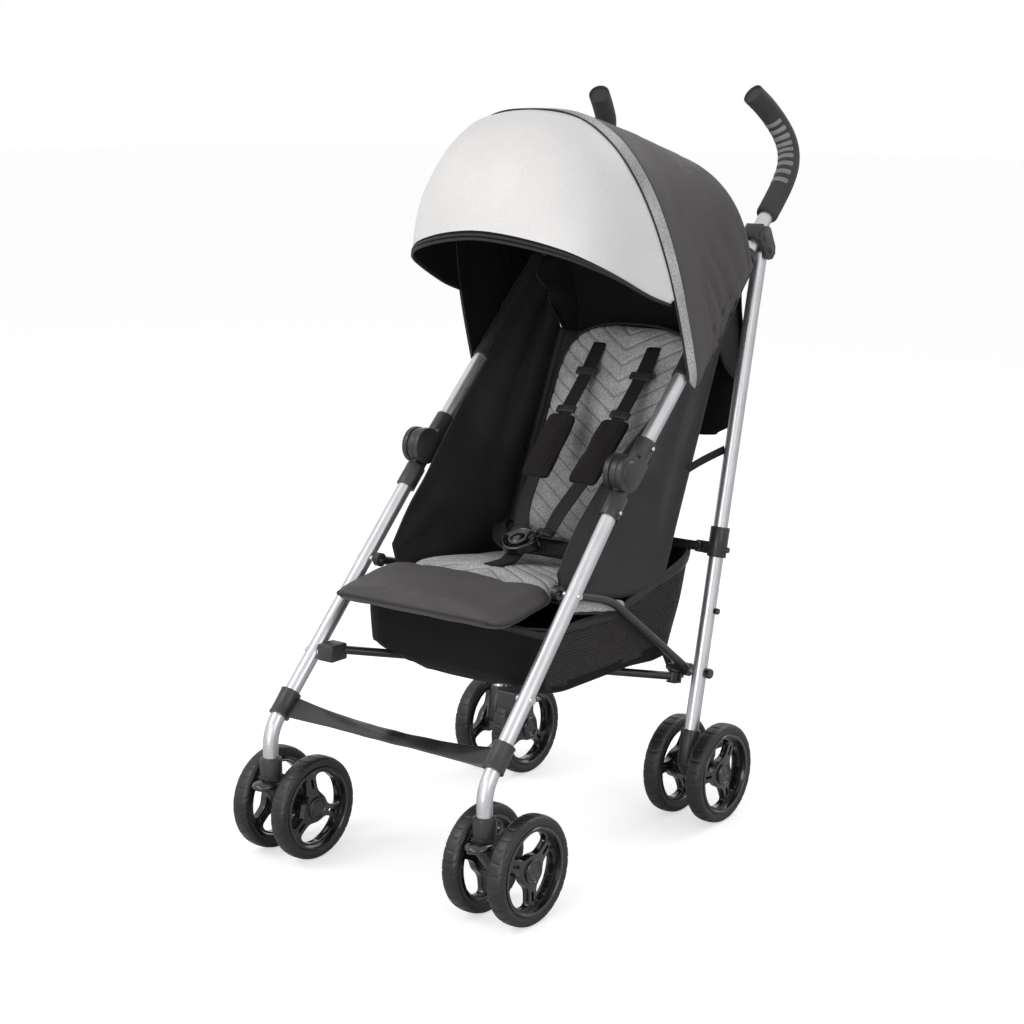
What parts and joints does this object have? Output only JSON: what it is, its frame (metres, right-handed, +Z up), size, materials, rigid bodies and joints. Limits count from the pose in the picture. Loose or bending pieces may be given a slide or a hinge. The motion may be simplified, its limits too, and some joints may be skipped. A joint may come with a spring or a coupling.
{
  "type": "lightweight stroller",
  "caption": "Lightweight umbrella-fold stroller with twin caster wheels, two curved handles, reclining quilted seat, five-point harness, hood with visor and a basket",
  "frame": {"origin": "middle of the bounding box, on the floor the wheels stand on", "axes": "+Z up, the stroller faces -Y, +X is its side that the picture shows nearer"},
  "size_m": [0.491, 0.8104, 1.0837],
  "materials": {
    "silver_tube": "satin",
    "black_plastic": "semi-gloss",
    "black_steel": "satin black",
    "tyre_rubber": "matte",
    "grip_foam": "matte foam",
    "black_fabric": "woven",
    "charcoal_fabric": "plain weave",
    "heather_fabric": "heather, quilted",
    "silver_fabric": "coated, pale"
  },
  "bodies": {
    "seat_unit": {"seat_shell": "black_fabric", "seat_cushion": "heather_fabric", "leg_flap": "charcoal_fabric", "basket": "black_fabric", "harness": "black_fabric", "buckle": "black_plastic"},
    "back_unit": {"backrest": "heather_fabric"},
    "hood_unit": {"canopy": "charcoal_fabric"},
    "visor_unit": {"canopy_visor": "silver_fabric"},
    "buckle_button_unit": {"buckle_button": "black_plastic"},
    "side_r": {"upper_tube_r": "silver_tube", "grip_r": "grip_foam", "top_bracket_r": "black_plastic", "knuckle_upper_r": "black_plastic"},
    "front_r": {"front_leg_r": "silver_tube", "knuckle_lower_r": "black_plastic", "footrest": "black_fabric"},
    "rear_r": {"rear_leg_r": "silver_tube", "rear_housing_r": "black_plastic", "leg_collar_r": "black_plastic"},
    "caster_r": {"caster_fork_r": "black_plastic"},
    "brake_r": {"brake_lever_r": "black_plastic"},
    "link_r": {"side_link_r": "black_steel"},
    "fork_r": {"brace_fork_r": "black_plastic"},
    "bar_r": {"brace_bar_r": "black_steel"},
    "crossbar_r": {"cross_bar_r": "black_steel"},
    "strut_r": {"rear_strut_r": "black_steel"},
    "wheel_front_r_out": {"rim_front_r_out": "black_plastic", "tyre_front_r_out": "tyre_rubber"},
    "wheel_rear_r_out": {"rim_rear_r_out": "black_plastic", "tyre_rear_r_out": "tyre_rubber"},
    "wheel_front_r_in": {"rim_front_r_in": "black_plastic", "tyre_front_r_in": "tyre_rubber"},
    "wheel_rear_r_in": {"rim_rear_r_in": "black_plastic", "tyre_rear_r_in": "tyre_rubber"},
    "side_l": {"upper_tube_l": "silver_tube", "grip_l": "grip_foam", "top_bracket_l": "black_plastic", "knuckle_upper_l": "black_plastic"},
    "front_l": {"front_leg_l": "silver_tube", "knuckle_lower_l": "black_plastic"},
    "rear_l": {"rear_leg_l": "silver_tube", "rear_housing_l": "black_plastic", "leg_collar_l": "black_plastic"},
    "caster_l": {"caster_fork_l": "black_plastic"},
    "brake_l": {"brake_lever_l": "black_plastic"},
    "link_l": {"side_link_l": "black_steel"},
    "fork_l": {"brace_fork_l": "black_plastic"},
    "bar_l": {"brace_bar_l": "black_steel"},
    "crossbar_l": {"cross_bar_l": "black_steel"},
    "strut_l": {"rear_strut_l": "black_steel"},
    "wheel_front_l_out": {"rim_front_l_out": "black_plastic", "tyre_front_l_out": "tyre_rubber"},
    "wheel_rear_l_out": {"rim_rear_l_out": "black_plastic", "tyre_rear_l_out": "tyre_rubber"},
    "wheel_front_l_in": {"rim_front_l_in": "black_plastic", "tyre_front_l_in": "tyre_rubber"},
    "wheel_rear_l_in": {"rim_rear_l_in": "black_plastic", "tyre_rear_l_in": "tyre_rubber"},
    "pedal": {"lock_pedal": "black_plastic"}
  },
  "joints": [
    {"name": "fold", "type": "hinge", "parent": "side_r", "child": "front_r", "pos_m": [0.183, -0.0547, 0.5583], "axis": [-1, 0, 0], "range_deg": [0, 170], "deforming": ["seat_shell", "seat_cushion", "leg_flap", "basket", "harness", "buckle", "backrest", "canopy", "canopy_visor", "buckle_button", "footrest"]},
    {"name": "fold_left", "type": "hinge", "parent": "side_l", "child": "front_l", "pos_m": [-0.183, -0.0547, 0.5583], "axis": [-1, 0, 0], "range_deg": [0, 170]},
    {"name": "side_slide_r", "type": "slide", "parent": "seat_unit", "child": "side_r", "axis": [-1, 0, 0], "range_m": [0, 0.1175]},
    {"name": "leg_fold_r", "type": "hinge", "parent": "side_r", "child": "rear_r", "pos_m": [0.183, 0.2984, 0.844], "axis": [-1, 0, 0], "range_deg": [0, 32.5]},
    {"name": "link_fold_r", "type": "hinge", "parent": "rear_r", "child": "link_r", "pos_m": [0.1617, 0.15322, 0.225], "axis": [-1, 0, 0], "range_deg": [0, 59.2]},
    {"name": "fork_fold_r", "type": "hinge", "parent": "rear_r", "child": "fork_r", "pos_m": [0.148, 0.15322, 0.225], "axis": [-1, 0, 0], "range_deg": [0, 80.5]},
    {"name": "bar_fold_r", "type": "hinge", "parent": "fork_r", "child": "bar_r", "pos_m": [0.148, 0.13381, 0.21637], "axis": [0, -0.1886, -0.9821], "range_deg": [0, 29.4]},
    {"name": "crossbar_fold_r", "type": "hinge", "parent": "rear_r", "child": "crossbar_r", "pos_m": [0.15, 0.19567, 0.406], "axis": [0, 0.9736, -0.2283], "range_deg": [0, 85.5]},
    {"name": "strut_fold_r", "type": "hinge", "parent": "rear_r", "child": "strut_r", "pos_m": [0.1305, 0.15322, 0.225], "axis": [0, 0.9736, -0.2283], "range_deg": [0, 34]},
    {"name": "swivel_r", "type": "hinge", "parent": "front_r", "child": "caster_r", "pos_m": [0.194, -0.3741, 0.1275], "axis": [0, 0, 1], "continuous": true},
    {"name": "brake_r", "type": "hinge", "parent": "rear_r", "child": "brake_r", "pos_m": [0.183, 0.1774, 0.099], "axis": [-1, 0, 0], "range_deg": [0, 20]},
    {"name": "spin_front_r_out", "type": "hinge", "parent": "caster_r", "child": "wheel_front_r_out", "pos_m": [0.2315, -0.3302, 0.075], "axis": [1, 0, 0], "continuous": true},
    {"name": "spin_rear_r_out", "type": "hinge", "parent": "rear_r", "child": "wheel_rear_r_out", "pos_m": [0.2205, 0.1524, 0.075], "axis": [1, 0, 0], "continuous": true},
    {"name": "spin_front_r_in", "type": "hinge", "parent": "caster_r", "child": "wheel_front_r_in", "pos_m": [0.1565, -0.3302, 0.075], "axis": [1, 0, 0], "continuous": true},
    {"name": "spin_rear_r_in", "type": "hinge", "parent": "rear_r", "child": "wheel_rear_r_in", "pos_m": [0.1455, 0.1524, 0.075], "axis": [1, 0, 0], "continuous": true},
    {"name": "side_slide_l", "type": "slide", "parent": "seat_unit", "child": "side_l", "axis": [1, 0, 0], "range_m": [0, 0.1175]},
    {"name": "leg_fold_l", "type": "hinge", "parent": "side_l", "child": "rear_l", "pos_m": [-0.183, 0.2984, 0.844], "axis": [-1, 0, 0], "range_deg": [0, 32.5]},
    {"name": "link_fold_l", "type": "hinge", "parent": "rear_l", "child": "link_l", "pos_m": [-0.1617, 0.15322, 0.225], "axis": [-1, 0, 0], "range_deg": [0, 59.2]},
    {"name": "fork_fold_l", "type": "hinge", "parent": "rear_l", "child": "fork_l", "pos_m": [-0.148, 0.15322, 0.225], "axis": [-1, 0, 0], "range_deg": [0, 80.5]},
    {"name": "bar_fold_l", "type": "hinge", "parent": "fork_l", "child": "bar_l", "pos_m": [-0.148, 0.13099, 0.20163], "axis": [0, 0.1886, 0.9821], "range_deg": [0, 29.4]},
    {"name": "crossbar_fold_l", "type": "hinge", "parent": "rear_l", "child": "crossbar_l", "pos_m": [-0.15, 0.19567, 0.406], "axis": [0, -0.9736, 0.2283], "range_deg": [0, 85.5]},
    {"name": "strut_fold_l", "type": "hinge", "parent": "rear_l", "child": "strut_l", "pos_m": [-0.1305, 0.15322, 0.225], "axis": [0, -0.9736, 0.2283], "range_deg": [0, 34]},
    {"name": "swivel_l", "type": "hinge", "parent": "front_l", "child": "caster_l", "pos_m": [-0.194, -0.3741, 0.1275], "axis": [0, 0, 1], "continuous": true},
    {"name": "brake_l", "type": "hinge", "parent": "rear_l", "child": "brake_l", "pos_m": [-0.183, 0.1774, 0.099], "axis": [-1, 0, 0], "range_deg": [0, 20]},
    {"name": "spin_front_l_out", "type": "hinge", "parent": "caster_l", "child": "wheel_front_l_out", "pos_m": [-0.2315, -0.3302, 0.075], "axis": [1, 0, 0], "continuous": true},
    {"name": "spin_rear_l_out", "type": "hinge", "parent": "rear_l", "child": "wheel_rear_l_out", "pos_m": [-0.2205, 0.1524, 0.075], "axis": [1, 0, 0], "continuous": true},
    {"name": "spin_front_l_in", "type": "hinge", "parent": "caster_l", "child": "wheel_front_l_in", "pos_m": [-0.1565, -0.3302, 0.075], "axis": [1, 0, 0], "continuous": true},
    {"name": "spin_rear_l_in", "type": "hinge", "parent": "rear_l", "child": "wheel_rear_l_in", "pos_m": [-0.1455, 0.1524, 0.075], "axis": [1, 0, 0], "continuous": true},
    {"name": "recline", "type": "hinge", "parent": "seat_unit", "child": "back_unit", "pos_m": [0, 0.1074, 0.38], "axis": [-1, 0, 0], "range_deg": [0, 25]},
    {"name": "hood_fold", "type": "hinge", "parent": "seat_unit", "child": "hood_unit", "pos_m": [0, 0.2544, 0.842], "axis": [-1, 0, 0], "range_deg": [0, 55]},
    {"name": "visor_flip", "type": "hinge", "parent": "hood_unit", "child": "visor_unit", "pos_m": [0, -0.0126, 0.8], "axis": [-1, 0, 0], "range_deg": [0, 60]},
    {"name": "buckle_press", "type": "slide", "parent": "seat_unit", "child": "buckle_button_unit", "axis": [0, 0.45, -0.893], "range_m": [0, 0.002], "stiffness_N_per_m": 300},
    {"name": "pedal_lift", "type": "hinge", "parent": "crossbar_r", "child": "pedal", "pos_m": [0.08, 0.18938, 0.39669], "axis": [1, 0, 0], "range_deg": [0, 30]}
  ],
  "couplings": [
    {"joint": "fold_left", "follows": "fold", "ratio": 1},
    {"joint": "side_slide_r", "follows": "fold", "m_per_rad": 0.039433},
    {"joint": "leg_fold_r", "follows": "fold", "ratio": 0.18824},
    {"joint": "link_fold_r", "follows": "fold", "ratio": 0.34529},
    {"joint": "fork_fold_r", "follows": "fold", "ratio": 0.47059},
    {"joint": "bar_fold_r", "follows": "fold", "ratio": 0.17},
    {"joint": "crossbar_fold_r", "follows": "fold", "ratio": 0.5},
    {"joint": "strut_fold_r", "follows": "fold", "ratio": 0.19706},
    {"joint": "side_slide_l", "follows": "fold", "m_per_rad": 0.039433},
    {"joint": "leg_fold_l", "follows": "fold", "ratio": 0.18824},
    {"joint": "link_fold_l", "follows": "fold", "ratio": 0.34529},
    {"joint": "fork_fold_l", "follows": "fold", "ratio": 0.47059},
    {"joint": "bar_fold_l", "follows": "fold", "ratio": 0.17},
    {"joint": "crossbar_fold_l", "follows": "fold", "ratio": 0.5},
    {"joint": "strut_fold_l", "follows": "fold", "ratio": 0.19706}
  ]
}
